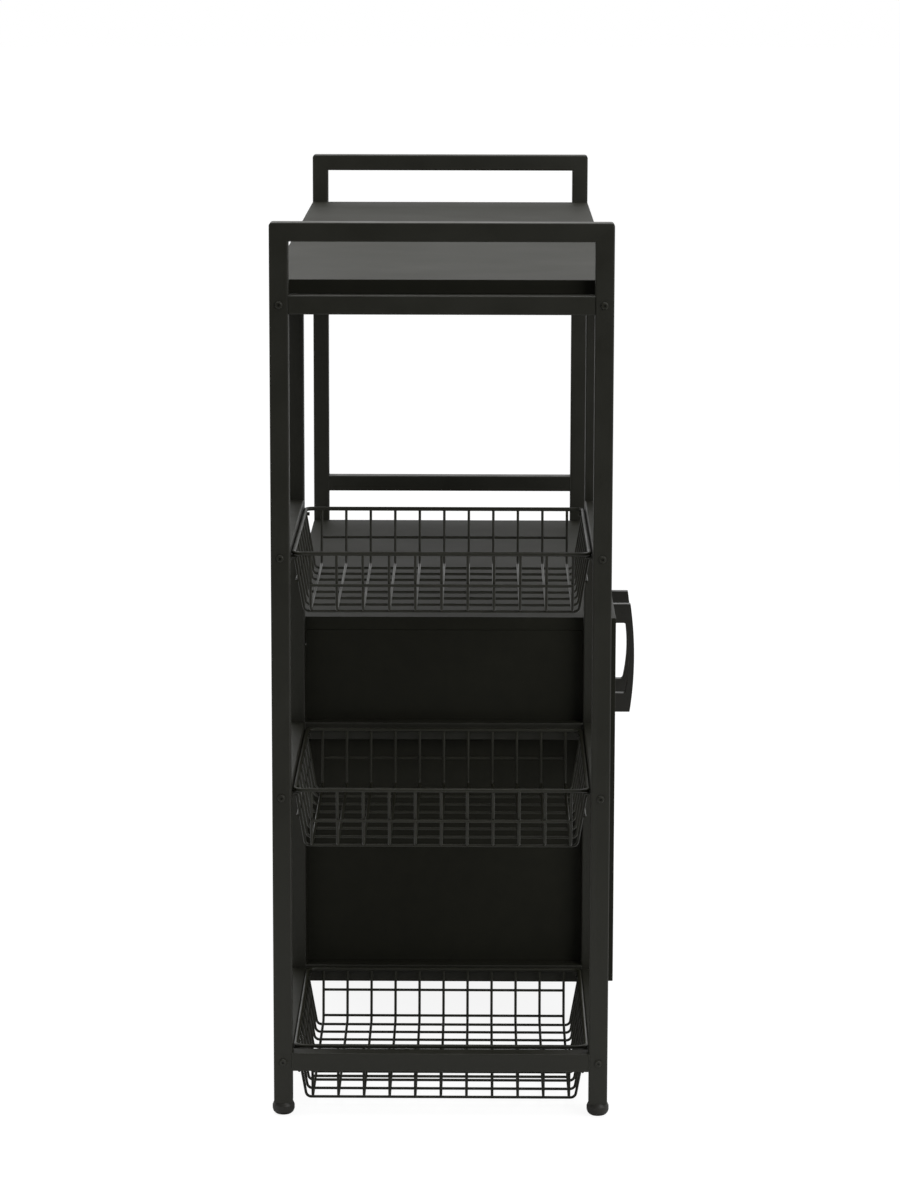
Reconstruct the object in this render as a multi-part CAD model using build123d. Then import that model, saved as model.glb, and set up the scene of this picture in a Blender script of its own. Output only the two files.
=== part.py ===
from build123d import *
import math
import os

os.makedirs("parts", exist_ok=True)

# ---- overall sizes, mm (X right, front faces -Y, Z up, origin on the floor under the outline's middle) ----
width = 1100.0
depth = 360.0
height = 965.0

# ---- square tube ----
tube = 20.0
tube_wall = 1.2
tube_corner = 1.6
frame_corner = 4.0
end_plate = 3.0

# ---- levels (tops of boards, centres of rails) ----
top_board_z = 904.0
shelf_z = 482.0
base_rail_z = 64.0
guard_rail_z = 531.0
basket_rail_z = (611.0, 352.0, 60.0)
middle_rail_z = basket_rail_z[1]
side_bottom_rail_z = basket_rail_z[2]

# ---- boards ----
board = 15.0
back_board = 5.0
board_edge = 0.8
panel_lap = 3.0
notch_clear = 0.5

# ---- feet ----
foot_height = 14.0
foot_base = 6.0
foot_radius = 12.0
foot_neck = 10.5
foot_waist_z = 6.5
foot_shoulder_z = 10.5
foot_stem_radius = 7.5
foot_stem = 12.0

# ---- basket bay ----
bay = 325.0
basket_side_clear = 0.4
basket_end_clear = 4.5
rim_z = (612.0, 355.0, 70.5)
rim_wire = 4.5
rim_corner = 9.0
mesh_wire = 3.0
weld = 0.2
basket_deep = (62.4, 62.4, 59.0)
end_wall_lean = 9.0
side_wall_lean = 11.0
bend = 6.0
cross_count = 11
cross_span = 279.0
long_count = (8, 8, 10)
long_span = (273.7, 273.7, 280.0)
far_wire_drop = ((32.5,), (32.5,), (24.5, 54.0))
near_wire_drop = 34.5
side_wire_drop = 32.5
stud_radius = 2.0
stud_length = 7.0
stud_from_end = 7.5
rest_clear = 0.3

# ---- bolts ----
bolt_shank = 5.0
bolt_head = 8.0
bolt_head_height = 2.2
bolt_dome = 1.6
bolt_past = 5.0
socket = 3.0
socket_deep = 1.4

# ---- doors ----
door = 15.0
door_gap = 2.0
door_edge_clear = 4.5
door_middle_gap = 3.0
door_over_shelf = 2.0
door_round = 1.0

# ---- hinges ----
hinge_height = 40.0
hinge_radius = 2.0
hinge_pin = 1.0
pin_clear = 0.05
leaf = 0.9
leaf_width = 16.0
knuckle_clear = 0.2
leaf_clear = 0.4
hinge_from_end = 76.0

# ---- handles ----
handle_length = 135.0
handle_width = 10.0
handle_reach = 34.0
handle_bow = 5.0
handle_bar = 6.0
handle_foot = 23.5
handle_from_middle = 45.5
handle_above_middle = 106.0
handle_inner_round = 3.0
handle_edge = 1.0
handle_screw = 2.0
handle_screw_in = 8.0
screw_head = 4.0
screw_head_height = 2.0

# ---- catch ----
catch_width = 46.0
catch_height = 14.0
catch_deep = 20.0
strike = 1.2
strike_width = 16.0
strike_height = 11.0
strike_clear = 0.2

# ---- places that follow from the sizes ----
inner_depth = depth - 2 * tube
leg_y = depth / 2 - tube / 2
left_x = -width / 2 + tube / 2
right_x = width / 2 - tube / 2
bay_left = -width / 2 + tube
bay_right = bay_left + bay
middle_x = bay_right + tube / 2
cabinet_left = bay_right + tube
cabinet_right = width / 2 - tube
bay_x = (bay_left + bay_right) / 2
top_rail_z = top_board_z - board - tube / 2
shelf_rail_z = shelf_z - board - tube / 2
front = -depth / 2
door_back = front - door_gap
door_face = door_back - door
door_bottom = base_rail_z - tube / 2
door_top = shelf_z + door_over_shelf
door_middle = (bay_right + width / 2) / 2
left_axis_x = bay_right + hinge_radius
right_axis_x = width / 2 - hinge_radius
axis_y = front - hinge_radius - knuckle_clear
handle_z = door_bottom + (door_top - door_bottom) / 2 + handle_above_middle
floor_top = base_rail_z + tube / 2 + board


def profile(inset):
    """Rounded square of the tube, pulled in on every side."""
    side = tube - 2 * inset
    return RectangleRounded(side, side, tube_corner - inset)


def hole_x(radius, length):
    """Cylinder lying along X, centred."""
    return Rot(0, 90, 0) * Cylinder(radius, length)


def upright(x, y, top, levels):
    """Post that is open at the foot, closed at its top, with bolt holes across it."""
    long = top - foot_height
    shape = extrude(profile(0), long) - extrude(profile(tube_wall), long - tube)
    shape = Pos(x, y, foot_height) * shape
    for level in levels:
        shape -= Pos(x, y, level) * hole_x(bolt_shank / 2, tube * 1.5)
    return shape


def mitred(shape, side, keep):
    """Tube cut on the 45 degree plane through a top corner of a side frame."""
    corner = Plane(origin=(0, side * depth / 2, height), z_dir=(0, side, -1))
    return split(shape, bisect_by=corner, keep=keep)


def corner_outline():
    """Side view of a side frame, with round top corners."""
    block = Box(2 * tube, depth, height, align=(Align.CENTER, Align.CENTER, Align.MIN))
    return fillet(block.edges().filter_by(Axis.X).group_by(Axis.Z)[-1], frame_corner)


def top_rail(x):
    """Top tube of a side frame, mitred into both posts."""
    shape = extrude(profile(0), depth / 2, both=True)
    shape -= extrude(profile(tube_wall), inner_depth / 2, both=True)
    shape = Pos(x, 0, height - tube / 2) * Rot(90, 0, 0) * shape
    return mitred(mitred(shape, -1, Keep.BOTTOM), 1, Keep.BOTTOM)


def rail_y(x, z):
    """Tube between the two posts of one frame."""
    shape = extrude(profile(0), inner_depth) - extrude(profile(tube_wall), inner_depth)
    return Pos(x, inner_depth / 2, z) * Rot(90, 0, 0) * shape


def rail_x(x_from, x_to, side, z):
    """Long tube with a drilled plate in each end."""
    long = x_to - x_from
    core = Pos(0, 0, end_plate) * extrude(profile(tube_wall), long - 2 * end_plate)
    shape = extrude(profile(0), long) - core
    shape -= Pos(0, 0, long / 2) * Cylinder(bolt_shank / 2, long * 1.1)
    return Pos(x_from, side * leg_y, z) * Rot(0, 90, 0) * shape


def side_frame(x, levels, rails):
    """Two uprights mitred to a top tube, and the rails welded between them."""
    outline = Pos(x, 0, 0) * corner_outline()
    posts = [mitred(upright(x, side * leg_y, height, levels), side, Keep.TOP) for side in (-1, 1)]
    solids = [(shape & outline).solid() for shape in posts + [top_rail(x)]]
    return Compound(solids + [rail_y(x, z) for z in rails])


def middle_frame():
    """Frame between the basket bay and the cabinet, under the long top rails."""
    top = top_rail_z - tube / 2
    levels = basket_rail_z[:2]
    solids = [upright(middle_x, side * leg_y, top, levels) for side in (-1, 1)]
    rails = (top - tube / 2, middle_rail_z, base_rail_z)
    return Compound(solids + [rail_y(middle_x, z) for z in rails])


def foot(x, y):
    """Round plastic glide with a stem up the tube."""
    with BuildPart() as made:
        with BuildSketch(Plane.XZ):
            with BuildLine():
                a = Line((0, 0), (foot_base, 0))
                b = ThreePointArc(a @ 1, (foot_radius * 0.86, foot_waist_z * 0.38), (foot_radius, foot_waist_z))
                c = Line(b @ 1, (foot_radius, foot_shoulder_z))
                d = Line(c @ 1, (foot_neck, foot_height))
                e = Line(d @ 1, (foot_stem_radius, foot_height))
                f = Line(e @ 1, (foot_stem_radius, foot_height + foot_stem))
                g = Line(f @ 1, (0, foot_height + foot_stem))
                Line(g @ 1, (0, 0))
            make_face()
        revolve(axis=Axis.Z)
    return Pos(x, y, 0) * made.part


def bolt(x, side, z, outward, long):
    """Button-head bolt; outward is +1 or -1 along X."""
    head = Cylinder(bolt_head / 2, bolt_head_height, align=(Align.CENTER, Align.CENTER, Align.MIN))
    head = fillet(head.edges().group_by(Axis.Z)[-1], bolt_dome)
    recess = extrude(RegularPolygon(socket / 2, 6), socket_deep)
    head -= Pos(0, 0, bolt_head_height - socket_deep) * recess
    head += Cylinder(bolt_shank / 2, long, align=(Align.CENTER, Align.CENTER, Align.MAX))
    return Pos(x, side * leg_y, z) * Rot(0, 90 * outward, 0) * head


def frame_bolts(x, outward, levels):
    """Bolts of one frame, through its uprights into the ends of the long rails."""
    long = tube + end_plate + bolt_past
    return Compound([bolt(x, side, z, outward, long) for z in levels for side in (-1, 1)])


def flat_board(x_from, x_to, y_from, y_to, z_from, z_to, round_by):
    """Board with lightly rounded edges."""
    size = (x_to - x_from, y_to - y_from, z_to - z_from)
    shape = Box(*size, align=(Align.MIN, Align.MIN, Align.MIN))
    shape = fillet(shape.edges(), round_by)
    return Pos(x_from, y_from, z_from) * shape


def side_panel(x_from):
    """Cabinet side, a little larger than the frame's window and notched round the long rails."""
    edge = inner_depth / 2 + panel_lap
    low = floor_top - board - panel_lap
    shape = flat_board(x_from, x_from + board, -edge, edge, low, shelf_z - board, board_edge)
    x = x_from + board / 2
    side = tube + 2 * notch_clear
    for y in (-leg_y, leg_y):
        for z in (shelf_rail_z, base_rail_z):
            shape -= Pos(x, y, z) * Box(board * 2, side, side)
    return shape


# ---- baskets, made about their own middle, with the rim at Z = 0 ----
rim_half_x = (bay - 2 * basket_end_clear - rim_wire) / 2
rim_half_y = (inner_depth - 2 * basket_side_clear - rim_wire) / 2
layer = mesh_wire - weld
wire_past = mesh_wire * 0.6


def basket_rim():
    """Closed ring of thick wire."""
    path = RectangleRounded(2 * rim_half_x, 2 * rim_half_y, rim_corner).wire()
    start = Plane(origin=path @ 0, z_dir=path % 0)
    return sweep(start * Circle(rim_wire / 2), path=path)


def wall_path(rim_half, rise, lean):
    """Bend and straight of one wall wire, in the plane of the wire."""
    turn = math.atan2(rise, lean)
    run = bend * math.tan(turn / 2)
    start = rim_half - lean - run
    arc = JernArc((start, -rise), (1, 0), bend, math.degrees(turn))
    return start, Wire([arc.edge(), Line(arc @ 1, (rim_half, 0)).edge()])


def wall_wires(plane, path, places):
    """The same bent wire at every place across the wall."""
    path = plane * path
    section = Plane(origin=path @ 0, z_dir=path % 0) * Circle(mesh_wire / 2)
    wire = sweep(section, path=path)
    step = plane.z_dir
    return [Pos(*(step * place)) * wire for place in places]


def wall(plane, rim_half, rise, lean, places, drops, reach):
    """One leaning wall: bent wires, level wires outside them, cut to the rim."""
    path = wall_path(rim_half, rise, lean)[1]
    wires = wall_wires(plane, path, places)
    turn = Rotation(90, 0, 0) if plane == Plane.XZ else Rotation(0, 90, 0)
    span = places[-1] - places[0] + wire_past
    for drop in drops:
        outward = rim_half - drop * lean / rise + layer * math.hypot(lean, rise) / rise
        centre = plane.from_local_coords(Vector(outward, -drop, 0))
        wires.append(Pos(*centre) * turn * Cylinder(mesh_wire / 2, span))
    grid = wires[0].fuse(*wires[1:])
    centre = plane.from_local_coords(Vector(rim_half, 0, 0))
    return grid - Pos(*centre) * turn * Cylinder(rim_wire / 2, reach)


def spread(count, span):
    """Even places from edge to edge, about zero."""
    return [span * (i / (count - 1) - 0.5) for i in range(count)]


def basket_mesh(level):
    """Floor grid and four leaning walls, each a solid of its own."""
    cross = spread(cross_count, cross_span)
    long = spread(long_count[level], long_span[level])
    upper = basket_deep[level]
    lower = upper + layer
    edge_x = wall_path(rim_half_x, upper, end_wall_lean)[0]
    edge_y = wall_path(rim_half_y, lower, side_wall_lean)[0]
    floor = []
    for y in cross:
        floor.append(Pos(0, y, -upper) * hole_x(mesh_wire / 2, 2 * edge_x))
    for x in long:
        floor.append(Pos(x, 0, -lower) * Rot(90, 0, 0) * Cylinder(mesh_wire / 2, 2 * edge_y))
    grid = floor[0].fuse(*floor[1:])
    far_drops = far_wire_drop[level]
    far = wall(Plane.XZ, rim_half_x, upper, end_wall_lean, cross, far_drops, 2 * rim_half_y)
    near = wall(Plane.XZ, rim_half_x, upper, end_wall_lean, cross, (near_wire_drop,), 2 * rim_half_y)
    back = wall(Plane.YZ, rim_half_y, lower, side_wall_lean, long, (side_wire_drop,), 2 * rim_half_x)
    walls = (far, mirror(near, about=Plane.YZ), back, mirror(back, about=Plane.XZ))
    return Compound([solid for part in (grid,) + walls for solid in part.solids()])


def basket_studs():
    """Pins on the inner faces of the basket rails; every rim rests on four."""
    pins = []
    reach = rim_half_x - rim_wire / 2 - stud_from_end
    for z in rim_z:
        for x in (bay_x - reach, bay_x + reach):
            for side in (-1, 1):
                y = side * (inner_depth / 2 - stud_length / 2)
                drop = rim_wire / 2 + rest_clear + stud_radius
                pins.append(Pos(x, y, z - drop) * Rot(90, 0, 0) * Cylinder(stud_radius, stud_length))
    return Compound(pins)


# ---- doors ----
def hinge_levels():
    """Middle heights of the two hinges of a door."""
    return (door_bottom + hinge_from_end, door_top - hinge_from_end)


def handle_levels():
    """Heights of the two screws of a handle."""
    half = (handle_length - handle_foot) / 2
    return (handle_z - half, handle_z + half)


def door_board(x_from, x_to, handle_x):
    """Overlay door with the two handle screw holes."""
    shape = flat_board(x_from, x_to, door_face, door_back, door_bottom, door_top, door_round)
    for z in handle_levels():
        shape -= Pos(handle_x, (door_face + door_back) / 2, z) * Rot(90, 0, 0) * Cylinder(handle_screw, door * 2)
    return shape


def handle(x):
    """Bow handle: two deep feet and a curved bar between them."""
    low = handle_z - handle_length / 2
    high = handle_z + handle_length / 2
    end = handle_reach - handle_bow
    with BuildPart() as made:
        with BuildSketch(Plane.YZ):
            with BuildLine():
                a = Line((door_face, low), (door_face - end, low))
                b = ThreePointArc(a @ 1, (door_face - handle_reach, handle_z), (door_face - end, high))
                Polyline(b @ 1, (door_face, high), a @ 0)
            make_face()
            with BuildLine():
                inner = end - handle_bar
                w = Line((door_face, low + handle_foot), (door_face - inner, low + handle_foot))
                v = ThreePointArc(
                    w @ 1,
                    (door_face - handle_reach + handle_bar, handle_z),
                    (door_face - inner, high - handle_foot),
                )
                Polyline(v @ 1, (door_face, high - handle_foot), w @ 0)
            make_face(mode=Mode.SUBTRACT)
        extrude(amount=handle_width / 2, both=True)
    shape = made.part
    across = shape.edges().filter_by(Axis.X)
    inside = across.filter_by(lambda e: abs(e.center().Z - handle_z) < handle_length / 2 - handle_foot + 1)
    inside = inside.filter_by(lambda e: e.center().Y < door_face - 1)
    shape = fillet(inside, handle_inner_round)
    outside = shape.edges().filter_by(Axis.X)
    outside = outside.filter_by(lambda e: abs(e.center().Z - handle_z) > handle_length / 2 - 1)
    outside = outside.filter_by(lambda e: e.center().Y < door_face - 1)
    shape = fillet(outside, handle_edge)
    for z in handle_levels():
        y = door_face - handle_screw_in / 2
        shape -= Pos(0, y, z) * Rot(90, 0, 0) * Cylinder(handle_screw, handle_screw_in)
    return Pos(x, 0, 0) * shape


def handle_screws(x):
    """Two screws from the back of the door into the feet of the handle."""
    screws = []
    long = door + handle_screw_in - 1
    for z in handle_levels():
        head = Cylinder(screw_head, screw_head_height, align=(Align.CENTER, Align.CENTER, Align.MIN))
        head = fillet(head.edges().group_by(Axis.Z)[-1], screw_head_height / 2)
        head += Cylinder(handle_screw, long, align=(Align.CENTER, Align.CENTER, Align.MAX))
        screws.append(Pos(x, door_back, z) * Rot(-90, 0, 0) * head)
    return Compound(screws)


def leaf_plate(x_from, x_to, y_from, z_from, z_to):
    """Flat strip of a hinge leaf."""
    shape = Box(x_to - x_from, leaf, z_to - z_from, align=(Align.MIN, Align.MIN, Align.MIN))
    return Pos(x_from, y_from, z_from) * shape


def knuckle(z_from, z_to, bore):
    """Short barrel about the hinge axis."""
    long = z_to - z_from
    ring = Cylinder(hinge_radius, long) - Cylinder(bore, long)
    return Pos(0, 0, (z_from + z_to) / 2) * ring


def frame_leaf():
    """Leaf screwed to the upright, made about the axis, with the outer knuckles."""
    third = hinge_height / 6
    y = -axis_y + front - leaf
    clear = hinge_radius + leaf_clear
    shape = leaf_plate(clear, leaf_width, y, -hinge_height / 2, hinge_height / 2)
    for low, high in ((-hinge_height / 2, -third), (third, hinge_height / 2)):
        shape += leaf_plate(0, clear, y, low, high)
        shape += knuckle(low, high, hinge_pin)
    return shape


def door_leaf():
    """Leaf screwed to the back of the door, with the middle knuckle."""
    third = hinge_height / 6 - knuckle_clear
    y = -axis_y + door_back
    clear = hinge_radius + leaf_clear
    start = hinge_pin + leaf_clear
    shape = leaf_plate(clear, leaf_width, y, -hinge_height / 2, hinge_height / 2)
    shape += leaf_plate(start, clear, y, -third, third)
    shape += knuckle(-third, third, hinge_pin + pin_clear)
    return shape


def placed(shape, axis_x, right):
    """The same hinge piece at both hinges of a door; mirrored for the right door."""
    if right:
        shape = mirror(shape, about=Plane.YZ)
    return Compound([Pos(axis_x, axis_y, z) * shape for z in hinge_levels()])


def hinge_pins():
    """Pins of all the hinges."""
    pin = Cylinder(hinge_pin, hinge_height)
    places = [(x, z) for x in (left_axis_x, right_axis_x) for z in hinge_levels()]
    return Compound([Pos(x, axis_y, z) * pin for x, z in places])


def catch():
    """Magnetic catch under the front rail, for both doors."""
    top = shelf_rail_z - tube / 2
    y = door_back + strike + strike_clear
    half = catch_width / 2
    return flat_board(door_middle - half, door_middle + half, y, y + catch_deep, top - catch_height, top, board_edge)


def strike_plate(side):
    """Steel plate on the back of a door, in front of the catch."""
    x = door_middle + side * (door_middle_gap / 2 + strike_width / 2 + 2)
    z = shelf_rail_z - tube / 2 - catch_height / 2
    return Pos(x, door_back + strike / 2, z) * Box(strike_width, strike, strike_height)


left_levels = (top_rail_z,) + basket_rail_z
right_levels = (top_rail_z, shelf_rail_z, base_rail_z)
left_rails = (top_rail_z, side_bottom_rail_z)
right_rails = (top_rail_z, guard_rail_z, shelf_rail_z, base_rail_z)

nodes = {
    "left_side_frame": side_frame(left_x, left_levels, left_rails),
    "middle_frame": middle_frame(),
    "right_side_frame": side_frame(right_x, right_levels, right_rails),
    "feet": Compound([foot(x, s * leg_y) for x in (left_x, middle_x, right_x) for s in (-1, 1)]),
    "left_frame_bolts": frame_bolts(-width / 2, -1, left_levels),
    "right_frame_bolts": frame_bolts(width / 2, 1, right_levels),
    "middle_frame_bolts": frame_bolts(cabinet_left, 1, basket_rail_z[:2]),
    "basket_studs": basket_studs(),
}

for name, side in (("front", -1), ("back", 1)):
    nodes[f"top_{name}_rail"] = rail_x(bay_left, cabinet_right, side, top_rail_z)
    nodes[f"shelf_{name}_rail"] = rail_x(cabinet_left, cabinet_right, side, shelf_rail_z)
    nodes[f"base_{name}_rail"] = rail_x(cabinet_left, cabinet_right, side, base_rail_z)
    for level, z in zip(("upper", "middle", "lower"), basket_rail_z):
        nodes[f"{level}_basket_{name}_rail"] = rail_x(bay_left, bay_right, side, z)

half = depth / 2
panel_low = floor_top
panel_high = shelf_z - board
panel_y = inner_depth / 2
back_from = panel_y - back_board
nodes["top_board"] = flat_board(
    bay_left, cabinet_right, -half, half, top_board_z - board, top_board_z, board_edge)
nodes["middle_shelf"] = flat_board(
    cabinet_left, cabinet_right, -half, half, panel_high, shelf_z, board_edge)
nodes["cabinet_floor"] = flat_board(
    cabinet_left + board, cabinet_right - board, -half, half, floor_top - board, floor_top, board_edge)
nodes["cabinet_left_panel"] = side_panel(cabinet_left)
nodes["cabinet_right_panel"] = side_panel(cabinet_right - board)
nodes["cabinet_back_panel"] = flat_board(
    cabinet_left + board, cabinet_right - board, back_from, panel_y, panel_low, panel_high, board_edge)
nodes["magnetic_catch"] = catch()
nodes["hinge_pins"] = hinge_pins()

doors = (
    ("left", left_axis_x, bay_right + door_edge_clear, door_middle - door_middle_gap / 2, -1),
    ("right", right_axis_x, door_middle + door_middle_gap / 2, width / 2 - door_edge_clear, 1),
)
for name, axis_x, x_from, x_to, side in doors:
    handle_x = door_middle + side * handle_from_middle
    nodes[f"{name}_door"] = door_board(x_from, x_to, handle_x)
    nodes[f"{name}_handle"] = handle(handle_x)
    nodes[f"{name}_handle_screws"] = handle_screws(handle_x)
    nodes[f"{name}_strike_plate"] = strike_plate(side)
    nodes[f"{name}_hinge_frame_leaves"] = placed(frame_leaf(), axis_x, side > 0)
    nodes[f"{name}_hinge_door_leaves"] = placed(door_leaf(), axis_x, side > 0)

for level, name in enumerate(("upper", "middle", "lower")):
    place = Pos(bay_x, 0, rim_z[level])
    nodes[f"{name}_basket_rim"] = place * basket_rim()
    nodes[f"{name}_basket_mesh"] = place * basket_mesh(level)

outline_front = door_face - handle_reach
outline_back = leg_y + foot_radius
to_origin = Pos(0, -(outline_front + outline_back) / 2, 0)
for name, shape in nodes.items():
    export_step(to_origin * shape, f"parts/{name}.step")
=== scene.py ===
import math

import bmesh
import bpy
from mathutils import Matrix, Vector


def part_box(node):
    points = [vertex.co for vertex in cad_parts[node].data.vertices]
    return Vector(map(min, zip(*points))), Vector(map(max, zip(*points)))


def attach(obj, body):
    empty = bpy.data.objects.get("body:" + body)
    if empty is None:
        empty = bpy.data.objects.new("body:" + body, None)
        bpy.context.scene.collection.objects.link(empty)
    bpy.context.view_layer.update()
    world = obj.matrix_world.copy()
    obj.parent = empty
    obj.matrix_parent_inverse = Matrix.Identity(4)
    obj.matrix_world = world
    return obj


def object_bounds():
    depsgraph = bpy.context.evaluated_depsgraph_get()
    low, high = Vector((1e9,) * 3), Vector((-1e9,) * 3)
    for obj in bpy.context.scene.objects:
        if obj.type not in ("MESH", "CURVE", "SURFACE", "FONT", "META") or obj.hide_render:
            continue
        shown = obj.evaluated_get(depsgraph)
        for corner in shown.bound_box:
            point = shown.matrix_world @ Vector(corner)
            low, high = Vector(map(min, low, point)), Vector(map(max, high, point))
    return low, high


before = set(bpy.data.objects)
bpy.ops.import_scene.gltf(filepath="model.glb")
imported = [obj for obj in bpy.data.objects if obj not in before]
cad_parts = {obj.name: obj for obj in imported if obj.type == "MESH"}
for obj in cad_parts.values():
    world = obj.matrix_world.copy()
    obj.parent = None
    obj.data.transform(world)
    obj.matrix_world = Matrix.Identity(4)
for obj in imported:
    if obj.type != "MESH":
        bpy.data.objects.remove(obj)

bl_info = {
    "name": "Kitchen stand with cabinet and wire baskets",
    "version": (1, 0, 0),
    "blender": (4, 5, 0),
    "location": "View3D > Sidebar > Stand",
    "description": "Finishes a steel-tube kitchen stand and lights it on a white studio floor",
    "category": "Object",
}

CAD_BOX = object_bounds()
MM = 0.001

BOARD_NODES = (
    "top_board",
    "middle_shelf",
    "cabinet_floor",
    "cabinet_left_panel",
    "cabinet_right_panel",
    "cabinet_back_panel",
)
SIDES = ("left", "right")
LEVELS = ("upper", "middle", "lower")

# a frame, its welds, and the heights in mm of the cross rails that are welded between its posts
WELDED = (
    ("left_side_frame", "left_frame_welds", (60,)),
    ("middle_frame", "middle_frame_welds", (879, 352, 64)),
    ("right_side_frame", "right_frame_welds", (531, 457, 64)),
)
TUBE = 20 * MM
WELD_RADIUS = 1.2 * MM
WELD_SET_IN = 0.8 * MM  # so the bead stands 0.4 mm proud of the tube
WELD_CORNER = 1 * MM
WELD_CORNER_STEPS = 4
WELD_STEP = 0.5 * MM
WELD_RIPPLE = 2.4 * MM
WELD_RIPPLE_SHARE = 0.09
WELD_SIDES = 12

FLOOR_RADIUS = 30.0
OVERHEAD_HEIGHT = 3.2
OVERHEAD_SIZE = 2.6
SIDE_PLACE = (-2.6, -2.2, 2.0)
SIDE_SIZE = 2.0


# ---------------------------------------------------------------- colours and materials


def linear(code):
    """Linear RGB of an sRGB hex colour."""
    parts = [int(code[i : i + 2], 16) / 255 for i in (0, 2, 4)]
    return tuple(c / 12.92 if c <= 0.04045 else ((c + 0.055) / 1.055) ** 2.4 for c in parts)


def rgba(colour, gain=1.0):
    """A colour socket's four values, lightened or darkened by gain."""
    return (*(min(1.0, c * gain) for c in colour), 1.0)


def add(tree, kind, settings=None, links=None):
    """Adds a node: settings go to its sockets or properties, links feed its sockets."""
    made = tree.nodes.new(kind)
    for key, value in (settings or {}).items():
        if isinstance(key, int) or key in made.inputs:
            made.inputs[key].default_value = value
        else:
            setattr(made, key, value)
    for key, source in (links or {}).items():
        tree.links.new(source, made.inputs[key])
    return made


def new_material(name):
    """An empty node material with its output."""
    material = bpy.data.materials.new(name)
    material.use_nodes = True
    material.node_tree.nodes.clear()
    tree = material.node_tree
    return material, tree, add(tree, "ShaderNodeOutputMaterial")


def ramp(tree, factor, low, high, to_low, to_high):
    """Maps a grey value from one range to another."""
    settings = {"From Min": low, "From Max": high, "To Min": to_low, "To Max": to_high}
    return add(tree, "ShaderNodeMapRange", settings, {"Value": factor}).outputs["Result"]


def two_tone(tree, factor, dark, light):
    """Colour between two tones by a grey value."""
    settings = {"data_type": "RGBA", 6: dark, 7: light}
    return add(tree, "ShaderNodeMix", settings, {0: factor}).outputs[2]


def noise(tree, place, size_mm, detail):
    """Noise with lumps of about a size."""
    settings = {"Scale": 1 / (size_mm * MM), "Detail": detail}
    return add(tree, "ShaderNodeTexNoise", settings, {"Vector": place}).outputs["Fac"]


def drawn_out_noise(tree, place, sizes_mm, detail):
    """Noise with lumps of a size along each axis."""
    scale = [1 / (size * MM) for size in sizes_mm]
    fitted = add(tree, "ShaderNodeMapping", {"Scale": scale}, {"Vector": place})
    settings = {"Scale": 1.0, "Detail": detail}
    return add(tree, "ShaderNodeTexNoise", settings, {"Vector": fitted.outputs["Vector"]}).outputs["Fac"]


def relief(tree, height, strength, depth_mm, below=None):
    """Relief of a depth, on top of the relief below it."""
    links = {"Height": height}
    if below:
        links["Normal"] = below
    settings = {"Strength": strength, "Distance": depth_mm * MM}
    return add(tree, "ShaderNodeBump", settings, links).outputs["Normal"]


def close(material, tree, output, settings, tone, rough, normal):
    """Gives a material its shader."""
    links = {"Base Color": tone, "Roughness": rough, "Normal": normal}
    shader = add(tree, "ShaderNodeBsdfPrincipled", settings, links)
    tree.links.new(shader.outputs["BSDF"], output.inputs["Surface"])
    return material


def powder_coated_steel(name, colour, ripple_mm, roughness):
    """Powder baked on steel: satin black, with an orange-peel ripple that softens each highlight."""
    material, tree, output = new_material(name)
    place = add(tree, "ShaderNodeTexCoord").outputs["Object"]
    ripple = noise(tree, place, ripple_mm, 2.0)
    # powder grains are about 0.05 mm; drawn at 0.4 mm so that they show
    grit = noise(tree, place, 0.4, 1.0)
    # hands and dust leave patches a few centimetres wide
    patches = noise(tree, place, 45, 3.0)
    tone = two_tone(tree, patches, rgba(colour, 0.85), rgba(colour, 1.18))
    rough = ramp(tree, patches, 0.3, 0.7, roughness - 0.05, roughness + 0.06)
    normal = relief(tree, grit, 0.2, 0.015, below=relief(tree, ripple, 0.35, 0.04))
    return close(material, tree, output, {"IOR": 1.5, "Specular IOR Level": 0.4}, tone, rough, normal)


def melamine_faced_board(name, colour, roughness):
    """Black melamine paper pressed on particle board: a matt satin skin with shallow pores along X."""
    material, tree, output = new_material(name)
    place = add(tree, "ShaderNodeTexCoord").outputs["Object"]
    # pores about 5 mm long and 0.4 mm wide
    pores = drawn_out_noise(tree, place, (5, 0.4, 0.4), 3.0)
    # the chips under the paper telegraph through as a mottle about 20 mm wide
    mottle = noise(tree, place, 20, 4.0)
    # a cloth leaves broad, faint changes of gloss
    wiped = noise(tree, place, 130, 2.0)
    tone = two_tone(tree, mottle, rgba(colour, 0.8), rgba(colour, 1.25))
    rough = ramp(tree, wiped, 0.3, 0.7, roughness - 0.02, roughness + 0.03)
    press = ramp(tree, pores, 0.35, 0.5, 0.0, 1.0)
    normal = relief(tree, mottle, 0.06, 0.05, below=relief(tree, press, 0.2, 0.02))
    return close(material, tree, output, {"IOR": 1.5, "Specular IOR Level": 0.18}, tone, rough, normal)


def moulded_plastic(name, colour, roughness, spark_mm):
    """Injection-moulded black plastic: even colour, with the fine spark-eroded grain of its mould."""
    material, tree, output = new_material(name)
    place = add(tree, "ShaderNodeTexCoord").outputs["Object"]
    grain = noise(tree, place, spark_mm, 2.0)
    flow = noise(tree, place, 18, 2.0)
    tone = two_tone(tree, flow, rgba(colour, 0.9), rgba(colour, 1.12))
    rough = ramp(tree, flow, 0.3, 0.7, roughness - 0.04, roughness + 0.04)
    return close(material, tree, output, {"IOR": 1.49}, tone, rough, relief(tree, grain, 0.25, 0.03))


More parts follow.
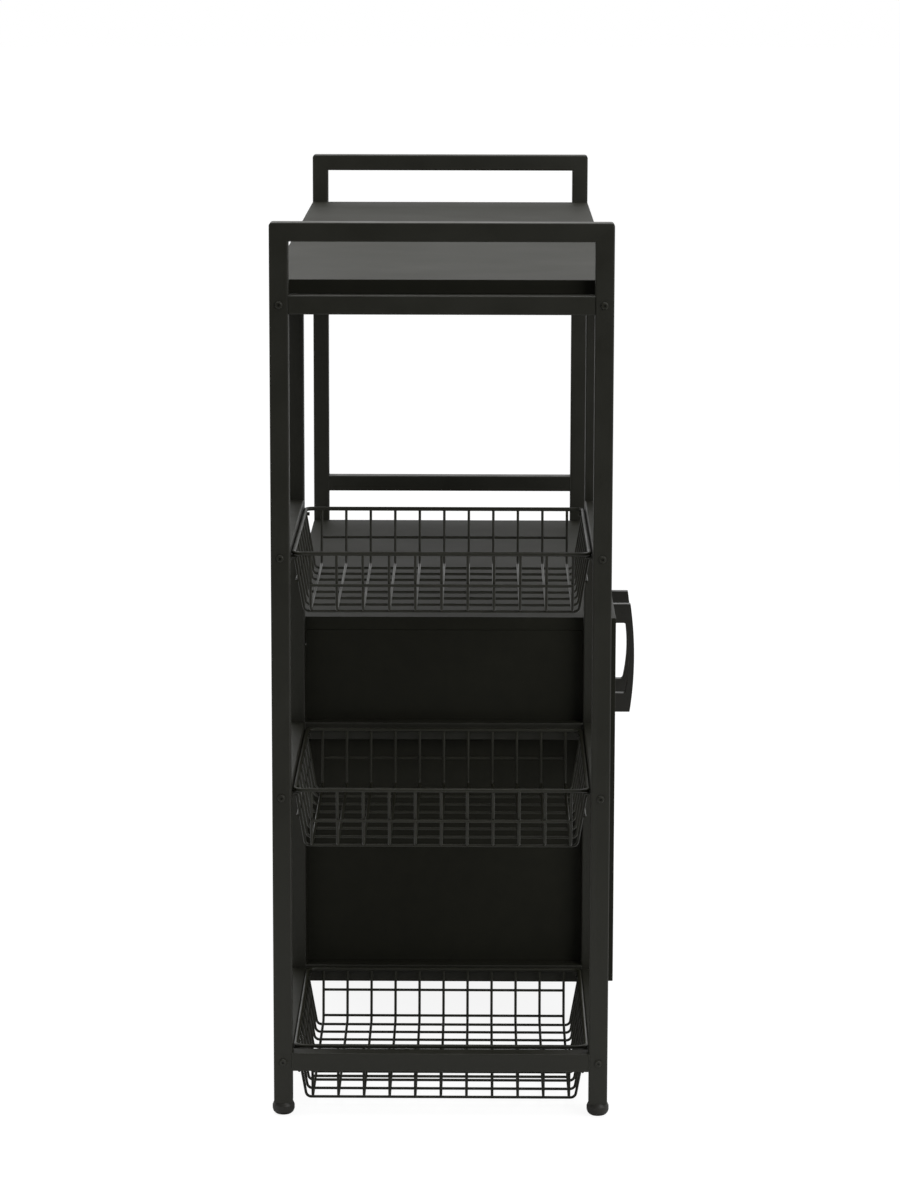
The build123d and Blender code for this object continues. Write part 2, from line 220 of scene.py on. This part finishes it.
def plated_steel(name, colour, roughness, line_mm):
    """Rolled steel with a thin bright plating: fine rolling lines along the strip, cloudy gloss."""
    material, tree, output = new_material(name)
    place = add(tree, "ShaderNodeTexCoord").outputs["Object"]
    lines = drawn_out_noise(tree, place, (line_mm, line_mm, 12), 2.0)
    cloud = noise(tree, place, 6, 3.0)
    tone = two_tone(tree, cloud, rgba(colour, 0.82), rgba(colour, 1.1))
    rough = ramp(tree, cloud, 0.3, 0.7, roughness - 0.06, roughness + 0.08)
    return close(material, tree, output, {"Metallic": 1.0}, tone, rough, relief(tree, lines, 0.15, 0.01))


# ---------------------------------------------------------------- meshes


def shade(piece, degrees):
    """Smooth shading with sharp edges kept above an angle."""
    mesh = piece.data
    mesh.shade_smooth()
    limit = math.radians(degrees)
    made = bmesh.new()
    made.from_mesh(mesh)
    flags = [len(e.link_faces) == 2 and e.calc_face_angle(0.0) > limit for e in made.edges]
    made.free()
    for edge, sharp in zip(mesh.edges, flags):
        edge.use_edge_sharp = sharp


def dress(names, material, degrees=28):
    """Gives CAD nodes their finish."""
    for name in names:
        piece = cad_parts[name]
        piece.data.materials.clear()
        piece.data.materials.append(material)
        shade(piece, degrees)


def piece_from(mesh_maker, name, material, body):
    """A new piece from a bmesh, in its finish, riding on a body."""
    mesh = bpy.data.meshes.new(name)
    mesh_maker.to_mesh(mesh)
    mesh_maker.free()
    piece = bpy.data.objects.new(name, mesh)
    bpy.context.scene.collection.objects.link(piece)
    mesh.materials.append(material)
    mesh.shade_smooth()
    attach(piece, body)


def tube_outline(half, corner):
    """Points and outward directions round a square tube's end, in the XZ plane."""
    path = []
    quarter = math.pi / 2
    for turn in range(4):
        facing = quarter * turn
        diagonal = facing + quarter / 2
        middle = Vector((math.cos(diagonal), 0, math.sin(diagonal))) * math.sqrt(2) * (half - corner)
        for step in range(WELD_CORNER_STEPS + 1):
            angle = facing + quarter * step / WELD_CORNER_STEPS
            outward = Vector((math.cos(angle), 0, math.sin(angle)))
            path.append((middle + outward * corner, outward))
    return path


def weld_ring(made, centre):
    """Adds one rippled weld bead round the end of a square tube that runs along Y."""
    path = tube_outline(TUBE / 2 - WELD_SET_IN, WELD_CORNER)
    across = Vector((0, 1, 0))
    rings = []
    along = 0.0
    for (start, out), (end, out_end) in zip(path, path[1:] + path[:1]):
        length = (end - start).length
        steps = max(1, round(length / WELD_STEP))
        for step in range(steps):
            point = centre + start.lerp(end, step / steps)
            outward = out.lerp(out_end, step / steps).normalized()
            radius = WELD_RADIUS * (1 + WELD_RIPPLE_SHARE * math.sin(2 * math.pi * along / WELD_RIPPLE))
            along += length / steps
            angles = [2 * math.pi * part / WELD_SIDES for part in range(WELD_SIDES)]
            offsets = [outward * math.cos(angle) + across * math.sin(angle) for angle in angles]
            rings.append([made.verts.new(point + offset * radius) for offset in offsets])
    for ring, after in zip(rings, rings[1:] + rings[:1]):
        for part in range(WELD_SIDES):
            beside = (part + 1) % WELD_SIDES
            made.faces.new((ring[part], after[part], after[beside], ring[beside]))


# ---------------------------------------------------------------- settings


class STAND_PG_finishes(bpy.types.PropertyGroup):
    frame_colour: bpy.props.FloatVectorProperty(
        name="Frame colour",
        description="Powder coat on the square tube",
        subtype="COLOR",
        min=0.0,
        max=1.0,
        default=linear("22221a"),
    )
    wire_colour: bpy.props.FloatVectorProperty(
        name="Wire colour",
        description="Powder coat on the basket wire",
        subtype="COLOR",
        min=0.0,
        max=1.0,
        default=linear("232319"),
    )
    board_colour: bpy.props.FloatVectorProperty(
        name="Board colour",
        description="Melamine paper on the boards and doors",
        subtype="COLOR",
        min=0.0,
        max=1.0,
        default=linear("1e1e16"),
    )
    plastic_colour: bpy.props.FloatVectorProperty(
        name="Plastic colour",
        description="Feet, handles and catch",
        subtype="COLOR",
        min=0.0,
        max=1.0,
        default=linear("201f19"),
    )
    zinc_colour: bpy.props.FloatVectorProperty(
        name="Hinge colour",
        description="Zinc plating on hinges, screws and strike plates",
        subtype="COLOR",
        min=0.0,
        max=1.0,
        default=linear("b4b6b8"),
    )
    bolt_colour: bpy.props.FloatVectorProperty(
        name="Bolt colour",
        description="Black lacquer on the frame bolts and basket studs",
        subtype="COLOR",
        min=0.0,
        max=1.0,
        default=linear("26261e"),
    )


class STAND_PG_camera(bpy.types.PropertyGroup):
    distance: bpy.props.FloatProperty(
        name="Distance",
        description="Camera to the outer face of the left side frame",
        subtype="DISTANCE",
        unit="LENGTH",
        default=4.0966,
    )
    towards_front: bpy.props.FloatProperty(
        name="Towards the front",
        description="Camera ahead of the middle of the frame's depth",
        subtype="DISTANCE",
        unit="LENGTH",
        default=0.0412,
    )
    height: bpy.props.FloatProperty(
        name="Height",
        description="Camera above the floor",
        subtype="DISTANCE",
        unit="LENGTH",
        default=1.3002,
    )
    pitch: bpy.props.FloatProperty(
        name="Pitch down",
        description="Tilt of the view below level",
        subtype="ANGLE",
        default=0.1770369,
    )
    yaw: bpy.props.FloatProperty(
        name="Yaw",
        description="Turn of the view from +X towards the front",
        subtype="ANGLE",
        default=-0.0077981,
    )
    roll: bpy.props.FloatProperty(
        name="Roll",
        description="Turn of the picture about its centre",
        subtype="ANGLE",
        default=0.0018595,
    )
    lens: bpy.props.FloatProperty(
        name="Lens",
        description="Focal length on a sensor 36 mm high",
        subtype="DISTANCE_CAMERA",
        default=118.25,
    )


class STAND_PG_light(bpy.types.PropertyGroup):
    dim: bpy.props.FloatProperty(
        name="Room light",
        description="Light from the dim side of the room, by the camera",
        min=0.0,
        default=0.22,
    )
    white: bpy.props.FloatProperty(
        name="Backdrop light",
        description="Light from the white backdrop behind the stand",
        min=0.0,
        default=1.0,
    )
    overhead: bpy.props.FloatProperty(
        name="Overhead softbox",
        description="Power of the softbox over the stand",
        subtype="POWER",
        default=60.0,
    )
    side: bpy.props.FloatProperty(
        name="Side softbox",
        description="Power of the softbox beside the camera",
        subtype="POWER",
        default=40.0,
    )


# ---------------------------------------------------------------- operators


class STAND_OT_frame(bpy.types.Operator):
    """Powder coat the side frames, middle frame and rails, and lay their welds"""

    bl_idname = "stand.frame"
    bl_label = "Steel frame"

    def execute(self, context):
        finishes = context.scene.stand_finishes
        names = [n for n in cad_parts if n.endswith("_rail") or n.endswith("_frame")]
        coat = powder_coated_steel("powder_coated_steel_tube", finishes.frame_colour, 1.6, 0.48)
        dress(names, coat, 25)
        for node, welds, levels in WELDED:
            low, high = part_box(node)
            made = bmesh.new()
            for level in levels:
                for y in (low.y + TUBE, high.y - TUBE):
                    weld_ring(made, Vector((low.x + TUBE / 2, y, level * MM)))
            bmesh.ops.recalc_face_normals(made, faces=made.faces)
            piece_from(made, welds, coat, "stand")
        return {"FINISHED"}


class STAND_OT_boards(bpy.types.Operator):
    """Face the shelves and the cabinet's panels with black melamine"""

    bl_idname = "stand.boards"
    bl_label = "Boards"

    def execute(self, context):
        board = melamine_faced_board("melamine_faced_board", context.scene.stand_finishes.board_colour, 0.6)
        dress(BOARD_NODES, board)
        return {"FINISHED"}


class STAND_OT_doors(bpy.types.Operator):
    """Face the doors and plate their strikes"""

    bl_idname = "stand.doors"
    bl_label = "Doors"

    def execute(self, context):
        finishes = context.scene.stand_finishes
        face = melamine_faced_board("melamine_faced_door", finishes.board_colour, 0.5)
        dress([f"{side}_door" for side in SIDES], face)
        strike = plated_steel("zinc_plated_strike", finishes.zinc_colour, 0.34, 0.3)
        dress([f"{side}_strike_plate" for side in SIDES], strike)
        return {"FINISHED"}


class STAND_OT_handles(bpy.types.Operator):
    """Finish the bow handles and their screws"""

    bl_idname = "stand.handles"
    bl_label = "Handles"

    def execute(self, context):
        finishes = context.scene.stand_finishes
        plastic = moulded_plastic("moulded_handle_plastic", finishes.plastic_colour, 0.4, 0.5)
        dress([f"{side}_handle" for side in SIDES], plastic, 35)
        screw = plated_steel("zinc_plated_screw", finishes.zinc_colour, 0.34, 0.3)
        dress([f"{side}_handle_screws" for side in SIDES], screw)
        return {"FINISHED"}


class STAND_OT_hinges(bpy.types.Operator):
    """Plate the hinge leaves and pins"""

    bl_idname = "stand.hinges"
    bl_label = "Hinges"

    def execute(self, context):
        plate = plated_steel("zinc_plated_hinge", context.scene.stand_finishes.zinc_colour, 0.32, 0.3)
        leaves = [f"{side}_hinge_{part}_leaves" for side in SIDES for part in ("frame", "door")]
        dress([*leaves, "hinge_pins"], plate)
        return {"FINISHED"}


class STAND_OT_baskets(bpy.types.Operator):
    """Powder coat the wire baskets"""

    bl_idname = "stand.baskets"
    bl_label = "Wire baskets"

    def execute(self, context):
        coat = powder_coated_steel("powder_coated_wire", context.scene.stand_finishes.wire_colour, 1.1, 0.4)
        dress([f"{level}_basket_{part}" for level in LEVELS for part in ("rim", "mesh")], coat, 50)
        return {"FINISHED"}


class STAND_OT_feet(bpy.types.Operator):
    """Finish the moulded feet and the catch"""

    bl_idname = "stand.feet"
    bl_label = "Feet and catch"

    def execute(self, context):
        colour = context.scene.stand_finishes.plastic_colour
        plastic = moulded_plastic("moulded_foot_plastic", colour, 0.5, 0.7)
        dress(["feet", "magnetic_catch"], plastic, 40)
        return {"FINISHED"}


class STAND_OT_bolts(bpy.types.Operator):
    """Lacquer the frame bolts and the basket studs"""

    bl_idname = "stand.bolts"
    bl_label = "Bolts and studs"

    def execute(self, context):
        colour = context.scene.stand_finishes.bolt_colour
        lacquer = powder_coated_steel("black_lacquered_steel", colour, 0.9, 0.38)
        dress(["left_frame_bolts", "middle_frame_bolts", "right_frame_bolts", "basket_studs"], lacquer)
        return {"FINISHED"}


class STAND_OT_stage(bpy.types.Operator):
    """Set the stand on a white studio floor, with soft light and the camera"""

    bl_idname = "stand.stage"
    bl_label = "Studio"

    def execute(self, context):
        scene = context.scene
        light = scene.stand_light
        scene.view_settings.view_transform = "Standard"
        self.lay_floor(scene)
        self.paint_room(scene, light.dim, light.white)
        middle = (CAD_BOX[0] + CAD_BOX[1]) / 2
        above = Vector((middle.x, middle.y, OVERHEAD_HEIGHT))
        beside = Vector((middle.x + SIDE_PLACE[0], middle.y + SIDE_PLACE[1], SIDE_PLACE[2]))
        self.hang_softbox(scene, "overhead_softbox", above, middle, OVERHEAD_SIZE, light.overhead)
        self.hang_softbox(scene, "side_softbox", beside, middle, SIDE_SIZE, light.side)
        self.place_camera(scene)
        return {"FINISHED"}

    def lay_floor(self, scene):
        """A wide white floor that keeps the shadow and runs into the white room."""
        made = bmesh.new()
        bmesh.ops.create_circle(made, cap_ends=True, radius=FLOOR_RADIUS, segments=96)
        mesh = bpy.data.meshes.new("studio_floor")
        made.to_mesh(mesh)
        made.free()
        floor = bpy.data.objects.new("studio_floor", mesh)
        scene.collection.objects.link(floor)
        material, tree, output = new_material("white_studio_floor")
        place = add(tree, "ShaderNodeTexCoord").outputs["Object"]
        along = add(tree, "ShaderNodeSeparateXYZ", None, {0: place}).outputs["X"]
        # white paper under and behind the stand; well before it the floor is painted dark, a painted shade
        # standing in for the dim room, which only the stand's reflections and bounce light see
        tone = ramp(tree, along, -2.4, -0.9, 0.06, 0.78)
        paper = add(tree, "ShaderNodeBsdfDiffuse", None, {"Color": tone})
        faint = add(tree, "ShaderNodeBsdfDiffuse", {"Color": rgba((0.2,) * 3)})
        glow = add(tree, "ShaderNodeEmission", {"Color": (1, 1, 1, 1), "Strength": 0.9})
        seen = add(tree, "ShaderNodeAddShader", None, {0: faint.outputs[0], 1: glow.outputs[0]})
        path = add(tree, "ShaderNodeLightPath")
        either = add(
            tree,
            "ShaderNodeMixShader",
            None,
            {0: path.outputs["Is Camera Ray"], 1: paper.outputs[0], 2: seen.outputs[0]},
        )
        tree.links.new(either.outputs[0], output.inputs["Surface"])
        mesh.materials.append(material)

    def paint_room(self, scene, dim, white):
        """A white backdrop behind the stand and a dim room before it; plain white where seen."""
        world = bpy.data.worlds.new("white_room")
        world.use_nodes = True
        tree = world.node_tree
        tree.nodes.clear()
        toward = add(tree, "ShaderNodeTexCoord").outputs["Generated"]
        along = add(tree, "ShaderNodeSeparateXYZ", None, {0: toward}).outputs["X"]
        room = ramp(tree, along, -0.5, 0.8, dim, white)
        path = add(tree, "ShaderNodeLightPath")
        level = add(
            tree, "ShaderNodeMix", {"data_type": "FLOAT", 3: 1.0}, {0: path.outputs["Is Camera Ray"], 2: room}
        )
        backdrop = add(tree, "ShaderNodeBackground", {"Color": (1, 1, 1, 1)}, {"Strength": level.outputs[0]})
        add(tree, "ShaderNodeOutputWorld", None, {"Surface": backdrop.outputs[0]})
        scene.world = world

    def hang_softbox(self, scene, name, place, aim, size, power):
        """A square softbox turned to a point."""
        lamp = bpy.data.lights.new(name, "AREA")
        lamp.shape = "SQUARE"
        lamp.size = size
        lamp.energy = power
        box = bpy.data.objects.new(name, lamp)
        box.location = place
        box.rotation_euler = (aim - place).to_track_quat("-Z", "Y").to_euler()
        scene.collection.objects.link(box)

    def place_camera(self, scene):
        """The camera at the photograph's viewpoint."""
        settings = scene.stand_camera
        low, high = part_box("left_side_frame")
        across = (low.y + high.y) / 2 - settings.towards_front
        place = Vector((low.x - settings.distance, across, settings.height))
        level = math.cos(settings.pitch)
        ahead = Vector(
            (math.cos(settings.yaw) * level, -math.sin(settings.yaw) * level, -math.sin(settings.pitch))
        )
        right = ahead.cross(Vector((0, 0, 1))).normalized()
        up = right.cross(ahead)
        turn = Matrix((right, up, -ahead)).transposed() @ Matrix.Rotation(settings.roll, 3, "Z")
        lens = bpy.data.cameras.new("camera")
        lens.sensor_width = 36.0
        lens.lens = settings.lens
        lens.clip_end = 200.0
        camera = bpy.data.objects.new("camera", lens)
        camera.matrix_world = Matrix.Translation(place) @ turn.to_4x4()
        scene.collection.objects.link(camera)
        scene.camera = camera


class STAND_PT_panel(bpy.types.Panel):
    """Lists what the stand is made of"""

    bl_idname = "STAND_PT_panel"
    bl_label = "Kitchen stand"
    bl_space_type = "VIEW_3D"
    bl_region_type = "UI"
    bl_category = "Stand"

    def draw(self, context):
        for operator in OPERATORS:
            self.layout.operator(operator.bl_idname)
        for group in (context.scene.stand_finishes, context.scene.stand_camera, context.scene.stand_light):
            for name in group.__annotations__:
                self.layout.prop(group, name)


GROUPS = (
    ("stand_finishes", STAND_PG_finishes),
    ("stand_camera", STAND_PG_camera),
    ("stand_light", STAND_PG_light),
)
OPERATORS = (
    STAND_OT_frame,
    STAND_OT_boards,
    STAND_OT_doors,
    STAND_OT_handles,
    STAND_OT_hinges,
    STAND_OT_baskets,
    STAND_OT_feet,
    STAND_OT_bolts,
    STAND_OT_stage,
)


def register():
    """Registers the settings, operators and panel."""
    for name, group in GROUPS:
        bpy.utils.register_class(group)
        setattr(bpy.types.Scene, name, bpy.props.PointerProperty(type=group))
    for operator in OPERATORS:
        bpy.utils.register_class(operator)
    bpy.utils.register_class(STAND_PT_panel)


def unregister():
    """Takes them out again."""
    bpy.utils.unregister_class(STAND_PT_panel)
    for operator in reversed(OPERATORS):
        bpy.utils.unregister_class(operator)
    for name, group in reversed(GROUPS):
        delattr(bpy.types.Scene, name)
        bpy.utils.unregister_class(group)


def main():
    """Makes the looks in order."""
    register()
    for operator in OPERATORS:
        group, name = operator.bl_idname.split(".")
        getattr(getattr(bpy.ops, group), name)()


if __name__ == "__main__":
    main()
